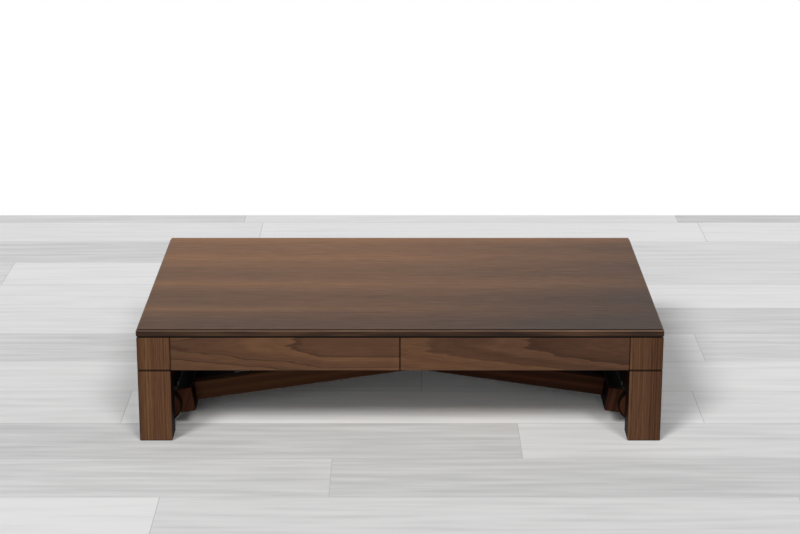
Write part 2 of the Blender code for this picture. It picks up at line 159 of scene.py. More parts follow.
both = add(tree, "CombineXYZ", {"X": row, "Y": board, "Z": BOARD_SEED}).outputs[0]
pick = add(tree, "TexWhiteNoise", {"Vector": both}, noise_dimensions="3D").outputs["Value"]
drawn = add(tree, "Math", {0: along, 1: BRUSH_STRETCH}, operation="MULTIPLY").outputs[0]
drawn = add(tree, "Math", {0: pick, 1: BRUSH_APART, 2: drawn}, operation="MULTIPLY_ADD").outputs[0]
brushed = add(tree, "CombineXYZ", {"X": drawn, "Y": across}).outputs[0]
brush = add(tree, "TexNoise", {"Vector": brushed, "Scale": BRUSH_SCALE, "Detail": 4.0}).outputs["Fac"]
tone = add(tree, "Math", {0: brush, 1: BRUSH_WEIGHT, 2: pick}, operation="MULTIPLY_ADD").outputs[0]
paint = tones(tree, tone, [(0.25, "#c5c5c5"), (1.00, "#ececec"), (1.60, "#fcfcfc")])
edges = []
for place, length in ((across, BOARD_W), (along, BOARD_L)):
    share = add(tree, "Math", {0: place, 1: 0.5}, operation="PINGPONG").outputs[0]
    edges.append(add(tree, "Math", {0: share, 1: length}, operation="MULTIPLY").outputs[0])
nearest = add(tree, "Math", {0: edges[0], 1: edges[1]}, operation="MINIMUM").outputs[0]
joint = add(tree, "Math", {0: nearest, 1: JOINT_HALF}, operation="LESS_THAN").outputs[0]
laid = add(tree, "Mix", {0: joint, 6: paint, 7: linear("#cacaca")}, data_type="RGBA").outputs[2]
tree.links.new(laid, shader.inputs["Base Color"])
shader.inputs["Roughness"].default_value = 0.7
shader.inputs["Specular IOR Level"].default_value = 0.2
print("made", floor_material.name)

# %% [markdown]
# The floor takes the soft shadow. It lies a fifth of a millimetre under the felt glides,
# so that the two surfaces never fight for the same pixel.

# %% Floor
FLOOR_SIDE = 4.0
FLOOR_FRONT = -4.5
FLOOR_BACK = 1.88
FLOOR_Z = -0.0002
floor_mesh = bpy.data.meshes.new("studio_floor")
bm = bmesh.new()
bmesh.ops.create_grid(bm, x_segments=1, y_segments=1, size=1.0)
bmesh.ops.scale(bm, vec=(FLOOR_SIDE, (FLOOR_BACK - FLOOR_FRONT) / 2, 1.0), verts=bm.verts)
bmesh.ops.translate(bm, vec=(0.0, (FLOOR_BACK + FLOOR_FRONT) / 2, FLOOR_Z), verts=bm.verts)
bm.to_mesh(floor_mesh)
bm.free()
floor_mesh.materials.append(floor_material)
floor = bpy.data.objects.new("studio_floor", floor_mesh)
bpy.context.scene.collection.objects.link(floor)
print("floor from y", FLOOR_FRONT, "to", FLOOR_BACK)

# %% [markdown]
# ## Light
#
# Everything beyond the floor is white. The white comes from the world only where the
# camera, a gloss or a clear surface looks straight at it, so the table itself is lit at
# an ordinary level. The shadows tell where the lamps stood: each leg's shadow runs back
# and to the right, 33 degrees off the table's depth, and the shadow under the front fades
# over a length that a lamp 17 degrees wide gives. That shadow is not deep, so a second
# lamp fills it from the other side, and some light reaches far in under the box, so a
# third stands low in front. All are sun lamps, which Blender treats as very far away, so
# the floor is lit evenly from front to back.
#
# Each lamp is given by its turn from the front, its height and its width, all in degrees,
# and its strength.

# %% World and lamps
AROUND = 0.09
world = bpy.data.worlds.new("white_studio")
world.use_nodes = True
bpy.context.scene.world = world
tree = world.node_tree
path = add(tree, "LightPath")
seen = add(tree, "Math", {0: path.outputs["Is Camera Ray"], 1: path.outputs["Is Glossy Ray"]},
           operation="MAXIMUM")
seen = add(tree, "Math", {0: seen.outputs[0], 1: path.outputs["Is Transmission Ray"]},
           operation="MAXIMUM")
white = add(tree, "MapRange", {"Value": seen.outputs[0], "To Min": AROUND, "To Max": 1.0})
background = tree.nodes["Background"]
background.inputs["Color"].default_value = (1.0, 1.0, 1.0, 1.0)
tree.links.new(white.outputs["Result"], background.inputs["Strength"])

LAMPS = {
    "broad_lamp_left": (-33.0, 41.5, 17.0, 1.63),
    "broad_lamp_right": (24.0, 44.0, 17.0, 1.09),
    "low_lamp_front": (-8.0, 20.0, 30.0, 0.84),
}
for name, (turn, height, width, strength) in LAMPS.items():
    lamp_data = bpy.data.lights.new(name, "SUN")
    lamp_data.angle = math.radians(width)
    lamp_data.energy = strength
    lamp = bpy.data.objects.new(name, lamp_data)
    lamp.rotation_euler = (math.radians(90 - height), 0.0, math.radians(turn))
    bpy.context.scene.collection.objects.link(lamp)
    print(name, "at", height, "degrees, strength", strength)
bpy.context.scene.view_settings.view_transform = "Standard"

# %% [markdown]
# ## Walnut
#
# Every show surface is black walnut, planed, sanded and finished with a thin satin
# oil. What the eye gets from that: broad brown tones where a saw cut through the growth
# rings, thin darker lines along them, fine streaks of open pores, and a weak broad
# shine. An image of a board would stop at each edge, so the grain is worked out in
# space instead: each point of a board has a distance from the tree's middle, the pith,
# and that distance decides its ring. Faces, edges and end grain then agree with each
# other as on a sawn board.
#
# Real pores are about 0.2 mm wide, far below a pixel here, so they are drawn 1.6 mm
# wide to show as fine streaks.

# %% Walnut: where a point lies in the tree
WAVE_LENGTH = 0.090
WAVE_STRETCH = 0.14


def grain_space(tree, along, across, depth):
    """Distances along the grain, across the board and into it, as three sockets."""
    here = add(tree, "TexCoord").outputs["Object"]
    return [add(tree, "VectorMath", {0: here, 1: axis}, operation="DOT_PRODUCT").outputs["Value"]
            for axis in (along, across, depth)]


def stretched(tree, space, stretch, offset):
    """The board's space squeezed along the grain, so that patterns come out long."""
    along = add(tree, "Math", {0: space[0], 1: stretch, 2: offset}, operation="MULTIPLY_ADD")
    return add(tree, "CombineXYZ", {"X": along.outputs[0], "Y": space[1], "Z": space[2]}).outputs[0]


def streaks(tree, space, width, stretch, seed, detail=2.0):
    """Soft streaks along the grain, of a given width in metres, from 0 to 1."""
    return add(tree, "TexNoise", {"Vector": stretched(tree, space, stretch, seed),
                                  "Scale": 1 / width, "Detail": detail}).outputs["Fac"]


def waved(tree, space, wave, seed):
    """The distance across the board, bent a little from side to side along the grain."""
    bend = streaks(tree, space, WAVE_LENGTH, WAVE_STRETCH, seed)
    shift = add(tree, "Math", {0: bend, 1: wave, 2: -wave / 2}, operation="MULTIPLY_ADD")
    return add(tree, "Math", {0: space[1], 1: shift.outputs[0]}, operation="ADD").outputs[0]


def from_pith(tree, across, into, pith):
    """Each point's distance from the pith, which lies along the grain."""
    side = add(tree, "Math", {0: across, 1: pith[0]}, operation="SUBTRACT")
    depth = add(tree, "Math", {0: into, 1: pith[1]}, operation="SUBTRACT")
    flat = add(tree, "CombineXYZ", {"X": side.outputs[0], "Y": depth.outputs[0]})
    return add(tree, "VectorMath", {0: flat.outputs[0]}, operation="LENGTH").outputs["Value"]


print("grain waves from side to side about every", round(WAVE_LENGTH / WAVE_STRETCH, 2), "m")

# %% [markdown]
# The finish is the same on all walnut: the ring tone is made a little darker or lighter
# by thin ring lines and by pores, and the pores are also a little rougher and sunk a
# little, so the shine breaks up along the grain. The joints look almost black: the groove
# under the top, the seam of each leg and the foot. That is shade, and it is painted on as a
# near-black colour in bands that run from one height to another.

# %% Walnut: the oiled surface
RING_LINE = 0.0050
PORE_WIDTH = 0.0016
PORE_STRETCH = 0.03


def painted_shade_bands(tree, colour, height, bands):
    """Paint shade on a board as near-black bands, given as (lowest, highest) in metres."""
    for low, high in bands:
        inside = add(tree, "Math", {0: height, 1: (low + high) / 2, 2: (high - low) / 2},
                     operation="COMPARE")
        colour = add(tree, "Mix", {0: inside.outputs[0], 6: colour, 7: linear("#140d09")},
                     data_type="RGBA").outputs[2]
    return colour


def oiled(tree, shader, space, colour, rings, seed, contrast=0.20, roughness=0.44, shine=0.15):
    """Add ring lines, pores and satin oil to a board's ring tones."""
    lines = add(tree, "TexNoise", {"W": rings, "Scale": 1 / RING_LINE, "Detail": 2.0},
                noise_dimensions="1D").outputs["Fac"]
    pores = streaks(tree, space, PORE_WIDTH, PORE_STRETCH, seed)
    both = add(tree, "Math", {0: lines, 1: pores}, operation="ADD")
    shade = add(tree, "MapRange", {"Value": both.outputs[0], "From Min": 0.6, "From Max": 1.4,
                                   "To Min": 1 - contrast, "To Max": 1 + contrast})
    shaded = add(tree, "VectorMath", {0: colour, "Scale": shade.outputs["Result"]}, operation="SCALE")
    tree.links.new(shaded.outputs["Vector"], shader.inputs["Base Color"])
    rough = add(tree, "MapRange", {"Value": pores, "From Min": 0.3, "From Max": 0.7,
                                   "To Min": roughness + 0.08, "To Max": roughness - 0.04})
    tree.links.new(rough.outputs["Result"], shader.inputs["Roughness"])
    sunk = add(tree, "Bump", {"Height": pores, "Strength": 0.12, "Distance": 0.0006})
    tree.links.new(sunk.outputs["Normal"], shader.inputs["Normal"])
    shader.inputs["IOR"].default_value = 1.5
    shader.inputs["Specular IOR Level"].default_value = shine


reveal_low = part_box("drawer_left_front")[1].z
seam = (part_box("lower_leg_front_left")[1].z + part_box("upper_leg_front_left")[0].z) / 2
GROOVE = (reveal_low - 0.0002, reveal_low + 0.006)
SEAM_ABOVE = (seam + 0.0005, seam + 0.0034)
SEAM_BELOW = (seam - 0.0024, seam - 0.0006)
FOOT = (0.0012, 0.0034)
print("groove under the top from", round(reveal_low, 4), "leg seam at", round(seam, 4))

# %% [markdown]
# ## Walnut drawer fronts
#
# Both fronts are plain-sawn: the saw passed close to the pith, so the rings show as
# nested arches that point to the left. Cut lengthwise, a tapering ring gives a curve that
# is round at its tip and nearly straight further out. So a point's ring is its slant
# distance from the arch's middle line, less a value that grows along the board, and the
# left front's arch spreads quickly and then runs level. Real arches have ragged tips, so
# noise stretched along the grain pulls their outlines into fingers. A ring starts light,
# gets darker outwards and ends in a dark line. Six brown tones are enough for that: they
# and their places, in metres from the heart of each arch outwards, were set by comparing
# renders with the photograph. A slow drift makes one end of each front a little lighter.

# %% Drawer fronts
X, Y, Z = (1.0, 0.0, 0.0), (0.0, 1.0, 0.0), (0.0, 0.0, 1.0)
ARCH_ROUND = 0.050
ARCH_WAVE = 0.014
FINGERS = 0.15
FINGER_W, FINGER_STRETCH = 0.018, 0.22
CLOUD_W, CLOUD_STRETCH = 0.022, 0.30
LIGHT, BROWN, MIDDLE = "#593e2a", "#543928", "#503727"
DULL, SHADE, LINE = "#4b3324", "#462f21", "#3e281c"
ARCHES = {
    "left": (-0.310, 0.294, 0.070, (0.110, 0.0130), (0.94, 1.14), [
        (-0.030, DULL), (-0.003, DULL), (0.0002, LINE),
        (0.0012, LIGHT), (0.007, LIGHT), (0.012, BROWN), (0.0225, DULL), (0.0245, LINE),
        (0.0258, LIGHT), (0.032, BROWN), (0.038, DULL), (0.041, LINE),
        (0.0424, LIGHT), (0.050, BROWN)]),
    "right": (0.351, 0.294, 0.095, (0.310, 0.0290), (1.02, 0.94), [
        (-0.030, DULL), (-0.012, SHADE), (-0.003, LINE), (0.0002, LINE),
        (0.0012, MIDDLE), (0.008, MIDDLE), (0.016, SHADE), (0.0262, SHADE),
        (0.0294, LIGHT), (0.038, BROWN), (0.046, BROWN), (0.050, LIGHT), (0.066, BROWN)]),
}
finishes = {}
for side, (tip_x, tip_z, slope, (reach, rise), drift, stops) in ARCHES.items():
    seed = 2.0 + tip_x
    material, tree, shader = new_material(f"walnut_plain_sawn_{side}")
    space = grain_space(tree, X, Z, Y)
    fingers = add(tree, "Math", {0: streaks(tree, space, FINGER_W, FINGER_STRETCH, seed + 7.0),
                                 1: FINGERS, 2: -tip_x - FINGERS / 2}, operation="MULTIPLY_ADD")
    ahead = add(tree, "Math", {0: space[0], 1: fingers.outputs[0]}, operation="ADD").outputs[0]
    before = add(tree, "Math", {0: ahead, 1: 0.0}, operation="MINIMUM").outputs[0]
    spread = add(tree, "MapRange", {"Value": ahead, "From Min": 0.0, "From Max": reach,
                                    "To Min": ARCH_ROUND, "To Max": ARCH_ROUND + rise})
    growth = add(tree, "Math", {0: before, 1: slope, 2: spread.outputs["Result"]},
                 operation="MULTIPLY_ADD")
    slant = from_pith(tree, waved(tree, space, ARCH_WAVE, seed), 0.0, (tip_z, ARCH_ROUND))
    rings = add(tree, "Math", {0: slant, 1: growth.outputs[0]}, operation="SUBTRACT").outputs[0]
    low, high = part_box(f"drawer_{side}_front")
    light = add(tree, "MapRange", {"Value": space[0], "From Min": low.x, "From Max": high.x,
                                   "To Min": drift[0], "To Max": drift[1]})
    cloud = add(tree, "MapRange", {"Value": streaks(tree, space, CLOUD_W, CLOUD_STRETCH, seed + 4.0),
                                   "From Min": 0.3, "From Max": 0.7, "To Min": 0.92, "To Max": 1.08})
    shade = add(tree, "Math", {0: light.outputs["Result"], 1: cloud.outputs["Result"]},
                operation="MULTIPLY")
    toned = add(tree, "VectorMath", {0: tones(tree, rings, stops), "Scale": shade.outputs[0]},
                operation="SCALE")
    # Painted shade: the groove at the top of the front is near black.
    colour = painted_shade_bands(tree, toned.outputs["Vector"], space[1], [GROOVE])
    oiled(tree, shader, space, colour, rings, seed, contrast=0.24, shine=0.10)
    finishes[f"drawer_{side}_front"] = material
    print("made", material.name)

# %% [markdown]
# ## Walnut legs
#
# An upper block and the lower leg under it are cut from one post, so the stripes run
# on across the seam. The pith lies far to one side, which makes the stripes straight,
# and the same tones are laid across each post, from its left side to its right: the left
# post has a warm light stripe, the right one is darker towards the outside. The side that
# faces the space under the table lies in deep shade, and a thin skin of it gets the same
# near-black painted shade as the joints.

# %% Leg posts
POST_WAVE = 0.010
SKIN = 0.0003
POSTS = {
    "left": (1.0, [(0.00, DULL), (0.12, DULL), (0.17, LIGHT), (0.40, LIGHT), (0.45, MIDDLE),
                   (0.62, BROWN), (1.00, BROWN)]),
    "right": (-1.0, [(0.00, LIGHT), (0.12, MIDDLE), (0.60, MIDDLE), (0.66, SHADE), (1.00, SHADE)]),
}
for side, (inward, stops) in POSTS.items():
    low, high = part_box(f"lower_leg_front_{side}")
    material, tree, shader = new_material(f"walnut_post_{side}")
    space = grain_space(tree, Z, X, Y)
    rings = waved(tree, space, POST_WAVE, 1.7 + low.x)
    placed = [(low.x + share * (high.x - low.x), colour) for share, colour in stops]
    # Painted shade: near black in the groove, at the seam and at the foot.
    colour = painted_shade_bands(tree, tones(tree, rings, placed), space[0],
                         [GROOVE, SEAM_ABOVE, SEAM_BELOW, FOOT])
    inner_x = high.x if inward > 0 else low.x
    # Painted shade on a thin skin of the inner side.
    colour = painted_shade_bands(tree, colour, space[1], [(inner_x - SKIN, inner_x + SKIN)])
    oiled(tree, shader, space, colour, rings, 4.0 + low.x, contrast=0.48, shine=0.02)
    for piece in ("upper_leg", "lower_leg"):
        for face in ("front", "rear"):
            finishes[f"{piece}_{face}_{side}"] = material
    print("made", material.name)

# %% [markdown]
# ## Walnut aprons and lifting frames
#
# The side and rear boards are straight-grained, with soft bands about 22 mm wide. The
# frames under the box look like the same timber stained dark and left almost matt. The
# rails, hangers, braces, blocks and tracks that lie deepest under the box get a nearly
# black colour, which is painted shade. The frame that is low at the right is the darker
# of the two. An arm lies at a slope, so its grain direction slopes as well, and that slope
# comes from the two pivots of the outer frame.

# %% Straight-grained boards
BAND_W = 0.022
BOARD_WAVE = 0.014
SHOW = [(0.30, "#492f1e"), (0.50, "#563824"), (0.70, "#64432a")]
STAINED = [(0.30, "#2f1c12"), (0.50, "#3b2518"), (0.70, "#462f1d")]
DEEP = [(0.30, "#2b1810"), (0.50, "#361f15"), (0.70, "#422719")]
DARK = [(0.30, "#24130d"), (0.50, "#2d1911"), (0.70, "#382116")]
# Near-black tones: painted shade for what lies deepest under the box.
BLACK = [(0.30, "#0c0705"), (0.50, "#110a07"), (0.70, "#170e09")]


def straight_walnut(name, along, across, depth, pith, seed, stops, shine=0.01):
    """Walnut sawn with the pith well outside the board."""
    material, tree, shader = new_material(name)
    space = grain_space(tree, along, across, depth)
    rings = from_pith(tree, waved(tree, space, BOARD_WAVE, seed), space[2], pith)
    bands = add(tree, "TexNoise", {"W": rings, "Scale": 1 / BAND_W, "Detail": 1.5},
                noise_dimensions="1D").outputs["Fac"]
    colour = tones(tree, bands, stops)
    # Show boards get near-black painted shade in the groove under the top.
    if stops is SHOW:
        colour = painted_shade_bands(tree, colour, space[1], [GROOVE])
    oiled(tree, shader, space, colour, rings, seed, shine=shine)
    print("made", name)
    return material


side_wood = straight_walnut("walnut_side_board", Y, Z, X, (-0.25, 0.4), 5.3, SHOW, 0.15)
rear_wood = straight_walnut("walnut_rear_board", X, Z, Y, (0.10, 0.30), 7.1, SHOW, 0.15)
hub_wood = straight_walnut("walnut_stained_hub", Y, X, Z, (-2.2, 0.6), 2.1, DEEP)
rail_wood = straight_walnut("walnut_painted_shade_rail", Y, X, Z, (-2.2, 0.6), 3.7, BLACK)
block_wood = straight_walnut("walnut_painted_shade_block", X, Z, Y, (-1.0, 0.5), 4.4, BLACK)
low_pivot = Vector(joints["lift"]["pos_m"])
high_pivot = Vector(joints["top_level"]["pos_m"])
arm_woods, bar_woods = {}, {}
for which, turn, arm_stain, bar_stain in (("outer", 1.0, STAINED, DEEP), ("inner", -1.0, DARK, DARK)):
    lengthwise = (high_pivot - low_pivot).normalized() * Vector((1.0, 1.0, turn))
    upward = Vector(Y).cross(lengthwise) * -1.0
    arm_woods[which] = straight_walnut(f"walnut_stained_arm_{which}", lengthwise, upward, Y,
                                       (-0.7, 0.4), 6.0 + turn, arm_stain)
    bar_woods[which] = straight_walnut(f"walnut_stained_bar_{which}", Y, X, Z, (-2.2, 0.6),
                                       2.9 + turn, bar_stain)

# %% [markdown]
# The bars and hubs reach from front to back, and what shows of them best are their ends,
# which look brown, while their long sides look black in the deep shade under the box. So
# that shade is painted on the long sides as a black colour.
# A face that does not look to the front or to the rear is a long side, and the surface's
# own direction, its normal, tells which is which.

# %% Painted shade on the long sides of bars and hubs
# The near-black colour painted on the long sides as shade.
PAINTED_SHADE_BLACK = "#0c0705"
for wood in (bar_woods["outer"], bar_woods["inner"], hub_wood):
    tree = wood.node_tree
    shader = tree.nodes["Principled BSDF"]
    facing = add(tree, "TexCoord").outputs["Normal"]
    to_rear = add(tree, "VectorMath", {0: facing, 1: Y}, operation="DOT_PRODUCT").outputs["Value"]
    end_face = add(tree, "Math", {0: to_rear}, operation="ABSOLUTE").outputs[0]
    stained = shader.inputs["Base Color"].links[0].from_socket
    blackened = add(tree, "Mix", {0: end_face, 6: linear(PAINTED_SHADE_BLACK), 7: stained}, data_type="RGBA")
    tree.links.new(blackened.outputs[2], shader.inputs["Base Color"])
    print("blackened the long sides of", wood.name)

# %% [markdown]
# A dark ring of painted shade goes round the face of each hub, on its rim. The distance
# from the pivot's axis tells where that ring is; taking x without its sign lets one
# material serve the hubs on both sides.

# %% Painted shade on the rim of the hubs
HUB_RIM = 0.0045
PAST_RIM = 0.001
tree = hub_wood.node_tree
shader = tree.nodes["Principled BSDF"]
hub_low, hub_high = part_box("pivot_hub_front_right")
hub_radius = (hub_high.z - hub_low.z) / 2
place = grain_space(tree, X, Z, Y)
side_x = add(tree, "Math", {0: place[0]}, operation="ABSOLUTE").outputs[0]
radius = from_pith(tree, side_x, place[1], (high_pivot.x, low_pivot.z))
face_colour = shader.inputs["Base Color"].links[0].from_socket
rimmed = painted_shade_bands(tree, face_colour, radius, [(hub_radius - HUB_RIM, hub_radius + PAST_RIM)])
tree.links.new(rimmed, shader.inputs["Base Color"])
print("hub radius", round(hub_radius, 4))

# %% [markdown]
# ## The top
#
# The top looks veneered with leaves from one log, laid side by side. Each leaf is about
# 245 mm wide, light along its middle and darker where it meets the next, and every second
# leaf stays light further to the right. The whole top is darker at both ends. It is also
# darker at the near side than the far side and darker to the right, darkest at the near
# right corner, and thin light streaks run in from the left and fade out past the middle:
# this is partly the veneer's tone and figure and partly painted light that is brightest
# at the far left. A cosine across the leaves gives their swell of light and dark without
# any seam, and noise stretched along the grain makes it look grown. Each of these is one
# layer of the tone, with its own weight.

# %% Veneered top
LEAF_W = 0.245
LEAF_Y = 0.215
WANDER = 0.050
WANDER_W, WANDER_STRETCH = 0.100, 0.12
top_low, top_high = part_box("table_top")
top_wood, tree, shader = new_material("walnut_veneer_top")
space = grain_space(tree, X, Y, Z)
wander = add(tree, "Math", {0: streaks(tree, space, WANDER_W, WANDER_STRETCH, 2.0),
                            1: WANDER, 2: -WANDER / 2 - LEAF_Y}, operation="MULTIPLY_ADD")
leaf = add(tree, "Math", {0: space[1], 1: wander.outputs[0]}, operation="ADD").outputs[0]
waves = []
for turns in (1.0, 0.5):
    angle = add(tree, "Math", {0: leaf, 1: turns * math.tau / LEAF_W}, operation="MULTIPLY")
    waves.append(add(tree, "Math", {0: angle.outputs[0]}, operation="COSINE").outputs[0])
to_right = add(tree, "MapRange", {"Value": space[0], "From Min": 0.0, "From Max": 0.5,
                                  "To Min": 0.0, "To Max": -1.0}, interpolation_type="SMOOTHSTEP")
second = add(tree, "Math", {0: waves[1], 1: to_right.outputs["Result"]}, operation="MULTIPLY")
ends = add(tree, "Math", {0: space[0], 1: space[0]}, operation="MULTIPLY")
to_front = add(tree, "MapRange", {"Value": space[1], "From Min": 0.0, "From Max": -0.40},
               interpolation_type="SMOOTHSTEP")
corner = add(tree, "Math", {0: to_front.outputs["Result"], 1: to_right.outputs["Result"]},
             operation="MULTIPLY")
tone = 0.0
# The layers along the depth, to the right and at the near right corner are partly tone, partly painted
# light.
for layer, weight in (
        (streaks(tree, space, 0.070, 0.09, 3.0, detail=1.5), 0.30),
        (streaks(tree, space, 0.120, 0.22, 4.0, detail=3.0), 0.38),
        (streaks(tree, space, 0.010, 0.05, 1.0, detail=4.0), 0.54),
        (waves[0], 0.10), (second.outputs[0], 0.09), (ends.outputs[0], -0.33),
        (corner.outputs[0], 0.10), (space[0], -0.29), (space[1], 0.76)):
    tone = add(tree, "Math", {0: layer, 1: weight, 2: tone}, operation="MULTIPLY_ADD").outputs[0]
field = tones(tree, tone, [(-0.10, "#332114"), (0.10, "#412917"), (0.35, "#52341d"),
                           (0.60, "#644328"), (0.85, "#764f31"), (1.10, "#875d38")])
print("made the field's leaves,", round((top_high.y - top_low.y) / LEAF_W, 1), "across the top")

# %% [markdown]
# The thin streaks lie along the middle of each leaf: the distance from back to front is
# folded into one leaf's width. The field stands a fine step above a lipping of darker wood.
# From the side, the colours change with height: a dark line of painted shade at the
# bottom, the lipping, its chamfer painted lighter as a highlight, the step's riser painted
# dark as shade, and then the field.

# %% Light streaks, lipping, painted highlight and painted shade
STREAK_HALF = 0.030
STREAK_FROM, STREAK_TO = -0.45, 0.30
STEP_H = 0.0028
CHAMFER = 0.0036
BOTTOM_LINE = 0.0014
LINE_BELOW = 0.0004
EDGE_W, EDGE_STRETCH = 0.010, 0.05
TOP_WAVE = 0.030
folded = add(tree, "Math", {0: leaf, 1: LEAF_W / 2, 2: -LEAF_W / 2}, operation="WRAP")
off_streak = add(tree, "Math", {0: folded.outputs[0]}, operation="ABSOLUTE")
streak = add(tree, "MapRange", {"Value": off_streak.outputs[0], "From Min": 0.0,
                                "From Max": STREAK_HALF, "To Min": 1.0, "To Max": 0.0},
             interpolation_type="SMOOTHSTEP")
fading = add(tree, "MapRange", {"Value": space[0], "From Min": STREAK_FROM, "From Max": STREAK_TO,
                                "To Min": 0.30, "To Max": 0.0})
streak = add(tree, "Math", {0: streak.outputs["Result"], 1: fading.outputs["Result"]},
             operation="MULTIPLY")
# The streaks' lighter colour is partly figure and partly painted light.
lit = add(tree, "Mix", {0: streak.outputs[0], 6: field, 7: linear("#8c6237")}, data_type="RGBA")
edge_grain = streaks(tree, space, EDGE_W, EDGE_STRETCH, 6.0)
lipping = tones(tree, edge_grain, [(0.30, "#1c1009"), (0.50, "#301e12"), (0.70, "#463120")])
# The chamfer gets lighter tones than the lipping: a painted highlight.
chamfer_highlight = tones(tree, edge_grain, [(0.30, "#4f3b2d"), (0.50, "#5e4737"), (0.70, "#6d5342")])
# Painted shade: a near-black line along the bottom edge.
whole = painted_shade_bands(tree, lipping, space[2], [(top_low.z - SKIN, top_low.z + BOTTOM_LINE)])
# Layers by height: the chamfer's painted highlight, the step's riser painted dark as shade, then the
# field.
for level, layer in ((top_high.z - STEP_H - CHAMFER + LINE_BELOW / 2, chamfer_highlight),
                     (top_high.z - STEP_H - LINE_BELOW, linear("#1c130d")),
                     (top_high.z - LINE_BELOW, lit.outputs[2])):
    above = add(tree, "Math", {0: space[2], 1: level}, operation="GREATER_THAN")
    whole = add(tree, "Mix", {0: above.outputs[0], 6: whole, 7: layer}, data_type="RGBA").outputs[2]
rings = from_pith(tree, waved(tree, space, TOP_WAVE, 9.2), space[2], (-1.3, 0.9))
oiled(tree, shader, space, whole, rings, 9.2, contrast=0.36, roughness=0.46)
print("made", top_wood.name)

# %% [markdown]
# ## Drawer boxes
#
# Inside, such drawers are often made of a light, plain wood, here paulownia, planed and
# left bare: pale, dry and almost without gloss, with soft straight grain.

# %% Paulownia
PALE_BAND_W = 0.012
PALE_WAVE = 0.016


def paulownia(name, along, across, depth, seed):
    """Bare planed paulownia: the same rings as walnut, pale and dry."""
    material, tree, shader = new_material(name)
    space = grain_space(tree, along, across, depth)
    rings = from_pith(tree, waved(tree, space, PALE_WAVE, seed), space[2], (-0.6, 0.4))
    bands = add(tree, "TexNoise", {"W": rings, "Scale": 1 / PALE_BAND_W, "Detail": 2.0},
                noise_dimensions="1D").outputs["Fac"]
    colour = tones(tree, bands, [(0.30, "#a98560"), (0.70, "#d3b58e")])
    oiled(tree, shader, space, colour, rings, seed, contrast=0.10, roughness=0.62)
    print("made", name)
    return material


drawer_side_wood = paulownia("paulownia_side", Y, Z, X, 1.1)
drawer_back_wood = paulownia("paulownia_back", X, Z, Y, 2.2)
drawer_floor_wood = paulownia("paulownia_floor", X, Y, Z, 3.3)

# %% [markdown]
# ## Steel, nylon and felt
#
# The axles and pins are drawn steel bar, zinc plated: a grey metal with faint marks
# along the bar from the die. Flat strips are rolled steel with a black oxide finish, dark
# and slightly patchy. The rollers are turned black nylon, dull with fine tool
# marks. The glides under the legs are pressed wool felt, rough at every scale.

# %% Metal, plastic and felt
axle_steel, tree, shader = new_material("steel_drawn_zinc_plated")
space = grain_space(tree, Y, X, Z)
marks = streaks(tree, space, 0.0004, 0.02, 0.0)
tree.links.new(tones(tree, marks, [(0.3, "#8d9093"), (0.7, "#b9bcbe")]), shader.inputs["Base Color"])
rough = add(tree, "MapRange", {"Value": marks, "To Min": 0.24, "To Max": 0.44})
tree.links.new(rough.outputs["Result"], shader.inputs["Roughness"])
shader.inputs["Metallic"].default_value = 1.0

strip_steel, tree, shader = new_material("steel_rolled_black_oxide")
scale_marks = streaks(tree, grain_space(tree, Y, X, Z), 0.003, 0.30, 0.0, detail=4.0)
oxide = tones(tree, scale_marks, [(0.3, "#3f4243"), (0.7, "#5c5f60")])
tree.links.new(oxide, shader.inputs["Base Color"])
shader.inputs["Roughness"].default_value = 0.42
shader.inputs["Metallic"].default_value = 1.0

nylon, tree, shader = new_material("nylon_turned_black")
turning = streaks(tree, grain_space(tree, Y, X, Z), 0.0006, 4.0, 0.0)
tree.links.new(tones(tree, turning, [(0.3, "#262627"), (0.7, "#3a3a3c")]), shader.inputs["Base Color"])
shader.inputs["Roughness"].default_value = 0.48
shader.inputs["IOR"].default_value = 1.53

felt, tree, shader = new_material("felt_pressed_wool")
fibres = streaks(tree, grain_space(tree, X, Y, Z), 0.0008, 1.0, 0.0, detail=4.0)
tree.links.new(tones(tree, fibres, [(0.3, "#2b2521"), (0.7, "#4d443c")]), shader.inputs["Base Color"])
shader.inputs["Roughness"].default_value = 0.95
fuzz = add(tree, "Bump", {"Height": fibres, "Strength": 0.6, "Distance": 0.0006})
tree.links.new(fuzz.outputs["Normal"], shader.inputs["Normal"])
print("made", axle_steel.name, strip_steel.name, nylon.name, felt.name)

# %% [markdown]
# ## Every piece gets its finish
#
# The CAD pieces keep their shapes, so each one only gets a better material in its slot.
# The list goes from the most general word in a piece's name to the most exact one, and
# the last word that fits decides.

# %% Assign the finishes
BY_NAME = [
    ("side_apron", side_wood), ("rear_apron", rear_wood), ("leg_tie_rail", rail_wood),
    ("pivot_hub", hub_wood), ("hanger", rail_wood),
    ("brace_board", rail_wood), ("front_rail", block_wood), ("centre_post", block_wood),
    ("pivot_block", block_wood), ("slide_track", block_wood),
    ("outer_frame_rocker", bar_woods["outer"]), ("inner_frame_rocker", bar_woods["inner"]),
    ("outer_frame_arm", arm_woods["outer"]), ("inner_frame_arm", arm_woods["inner"]),
    ("table_top", top_wood), ("drawer_left_side", drawer_side_wood),
    ("drawer_right_side", drawer_side_wood), ("_back", drawer_back_wood),
    ("_bottom", drawer_floor_wood), ("axle", axle_steel), ("centre_pivot", axle_steel),
    ("track_roller", nylon), ("felt_glide", felt),
]
BY_NAME += list(finishes.items())
for name, piece in nodes.items():
    fitting = [material for word, material in BY_NAME if word in name]
    piece.data.materials.clear()
    piece.data.materials.append(fitting[-1])
print("finished", len(nodes), "pieces with", len({m.name for _, m in BY_NAME}), "materials")

